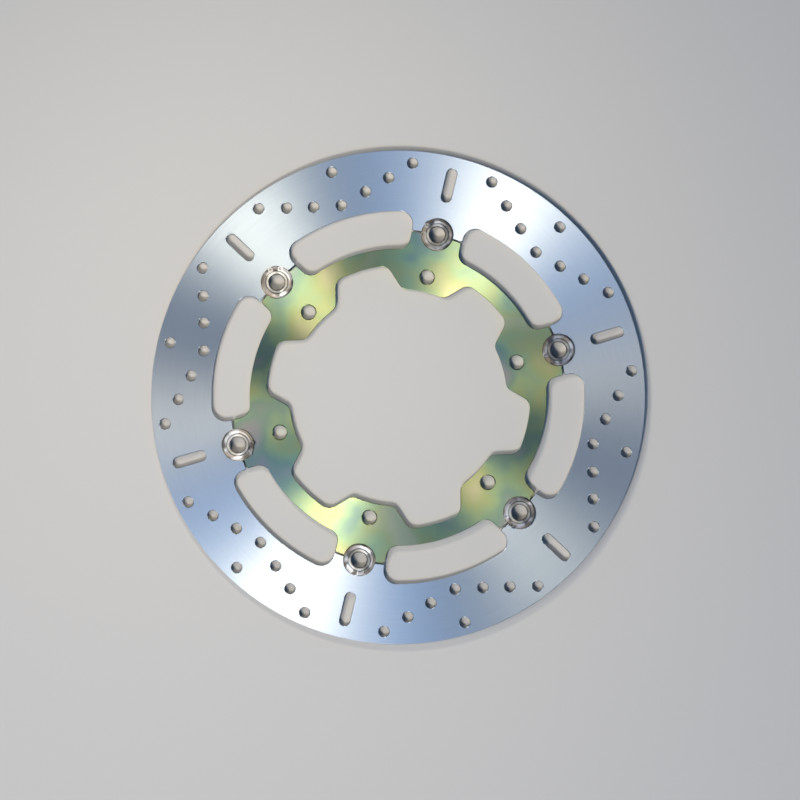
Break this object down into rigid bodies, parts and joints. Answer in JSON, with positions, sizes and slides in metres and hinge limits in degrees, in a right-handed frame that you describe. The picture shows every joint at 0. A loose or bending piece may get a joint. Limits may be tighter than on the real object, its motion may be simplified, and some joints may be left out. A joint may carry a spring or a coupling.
{
  "type": "brake disc rotor",
  "caption": "Floating brake disc rotor: flat drilled and slotted friction ring held by hollow bobbins to a lobed hub carrier plate.",
  "frame": {"origin": "centre of the bolt circle on the hub side of the carrier", "axes": "+Z along the wheel axis, out of the front face where the bolt heads and circlips are; +X through bobbin 1"},
  "size_m": [0.3, 0.3, 0.0096],
  "materials": {
    "ground_stainless": "circular grinding marks",
    "passivated_steel": "yellow iridescent zinc passivate",
    "bobbin_steel": "turned",
    "washer_steel": "pressed and tumbled",
    "spring_steel": "hardened spring strip"
  },
  "bodies": {
    "carrier": {"carrier": "passivated_steel"},
    "friction_ring": {"friction_ring": "ground_stainless"},
    "bobbin_set_1": {"bobbin_1": "bobbin_steel", "wave_washer_1": "spring_steel", "flat_washer_1": "washer_steel", "circlip_1": "spring_steel"},
    "bobbin_set_2": {"bobbin_2": "bobbin_steel", "wave_washer_2": "spring_steel", "flat_washer_2": "washer_steel", "circlip_2": "spring_steel"},
    "bobbin_set_3": {"bobbin_3": "bobbin_steel", "wave_washer_3": "spring_steel", "flat_washer_3": "washer_steel", "circlip_3": "spring_steel"},
    "bobbin_set_4": {"bobbin_4": "bobbin_steel", "wave_washer_4": "spring_steel", "flat_washer_4": "washer_steel", "circlip_4": "spring_steel"},
    "bobbin_set_5": {"bobbin_5": "bobbin_steel", "wave_washer_5": "spring_steel", "flat_washer_5": "washer_steel", "circlip_5": "spring_steel"},
    "bobbin_set_6": {"bobbin_6": "bobbin_steel", "wave_washer_6": "spring_steel", "flat_washer_6": "washer_steel", "circlip_6": "spring_steel"}
  },
  "joints": [
    {"name": "ring_float", "type": "slide", "parent": "carrier", "child": "friction_ring", "axis": [0, 0, 1], "range_m": [-0.00015, 0.00015], "stiffness_N_per_m": 800000, "deforming": ["wave_washer_1", "wave_washer_2", "wave_washer_3", "wave_washer_4", "wave_washer_5", "wave_washer_6"]},
    {"name": "bobbin_spin_1", "type": "hinge", "parent": "carrier", "child": "bobbin_set_1", "pos_m": [0.1015, 0, 0], "axis": [0, 0, 1], "continuous": true},
    {"name": "bobbin_spin_2", "type": "hinge", "parent": "carrier", "child": "bobbin_set_2", "pos_m": [0.05075, 0.0879, 0], "axis": [0, 0, 1], "continuous": true},
    {"name": "bobbin_spin_3", "type": "hinge", "parent": "carrier", "child": "bobbin_set_3", "pos_m": [-0.05075, 0.0879, 0], "axis": [0, 0, 1], "continuous": true},
    {"name": "bobbin_spin_4", "type": "hinge", "parent": "carrier", "child": "bobbin_set_4", "pos_m": [-0.1015, 0, 0], "axis": [0, 0, 1], "continuous": true},
    {"name": "bobbin_spin_5", "type": "hinge", "parent": "carrier", "child": "bobbin_set_5", "pos_m": [-0.05075, -0.0879, 0], "axis": [0, 0, 1], "continuous": true},
    {"name": "bobbin_spin_6", "type": "hinge", "parent": "carrier", "child": "bobbin_set_6", "pos_m": [0.05075, -0.0879, 0], "axis": [0, 0, 1], "continuous": true}
  ]
}
